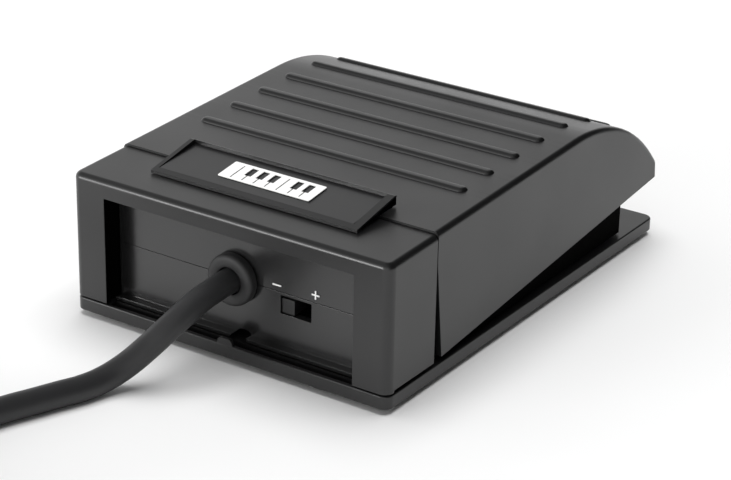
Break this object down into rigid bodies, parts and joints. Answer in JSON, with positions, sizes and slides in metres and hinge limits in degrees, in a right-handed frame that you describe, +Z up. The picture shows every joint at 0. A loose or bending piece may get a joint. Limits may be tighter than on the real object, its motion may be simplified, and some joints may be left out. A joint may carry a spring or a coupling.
{
  "type": "sustain pedal",
  "caption": "Compact keyboard sustain pedal: a ribbed treadle tips on a pin over a switch, behind it a fixed cover with a polarity switch and a cable with a quarter-inch plug.",
  "frame": {"origin": "centre of the pedal's footprint, on the surface that its feet stand on", "axes": "+Z up, +Y towards the rear where the cable leaves, -Y towards the treadle's free end, +X the left-hand side as seen from the rear"},
  "size_m": [0.1083, 0.2227, 0.033],
  "materials": {
    "shell": "fine spark-eroded texture, satin sheen",
    "inner_black": "dull moulded black",
    "rubber": "matte",
    "cable": "smooth satin PVC jacket",
    "steel": "zinc plated",
    "nickel": "polished nickel plate",
    "white_print": "screen-printed ink",
    "white_plastic": "moulded nylon",
    "label": "smooth satin label",
    "wire_red": "satin insulation",
    "wire_grey": "satin insulation"
  },
  "bodies": {
    "base": {"base_plate": "shell", "foot_front_right": "rubber", "foot_front_left": "rubber", "foot_rear_right": "rubber", "foot_rear_left": "rubber", "chassis_tub": "inner_black", "tub_screw_1": "steel", "tub_screw_2": "steel", "tub_screw_3": "steel", "tub_screw_4": "steel", "rear_cover": "shell", "cover_screw_1": "steel", "cover_screw_2": "steel", "rear_panel_lower": "shell", "rear_panel_upper": "shell", "cable_gland": "shell", "polarity_minus_mark": "white_print", "polarity_plus_mark": "white_print", "polarity_switch_body": "inner_black", "contact_switch_body": "inner_black", "hinge_pin": "steel", "return_spring": "steel", "bumper_right": "rubber", "bumper_left": "rubber", "wire_signal": "wire_red", "wire_ground": "wire_grey", "wire_contact": "wire_red", "cord": "cable", "cord_coil": "cable", "cord_tail": "cable", "cord_tie": "rubber", "plug_boot": "cable", "plug_grip": "cable", "plug_sleeve": "nickel", "plug_insulator": "inner_black", "plug_tip": "nickel"},
    "treadle_body": {"treadle": "shell", "badge_frame": "shell", "badge_label": "label", "badge_emblem": "white_print"},
    "slider": {"polarity_slider": "inner_black"},
    "plunger": {"contact_plunger": "white_plastic"}
  },
  "joints": [
    {"name": "treadle_hinge", "type": "hinge", "parent": "base", "child": "treadle_body", "pos_m": [0, 0.0336, 0.024], "axis": [1, 0, 0], "range_deg": [0, 6], "stiffness_Nm_per_rad": 2.4, "springref_deg": -4.76, "deforming": ["return_spring"]},
    {"name": "polarity_slide", "type": "slide", "parent": "base", "child": "slider", "axis": [-1, 0, 0], "range_m": [0, 0.0037]},
    {"name": "contact_plunge", "type": "slide", "parent": "base", "child": "plunger", "axis": [0, 0, -1], "range_m": [0, 0.0019]}
  ],
  "couplings": [
    {"joint": "contact_plunge", "follows": "treadle_hinge", "m_per_rad": 0.0176}
  ]
}
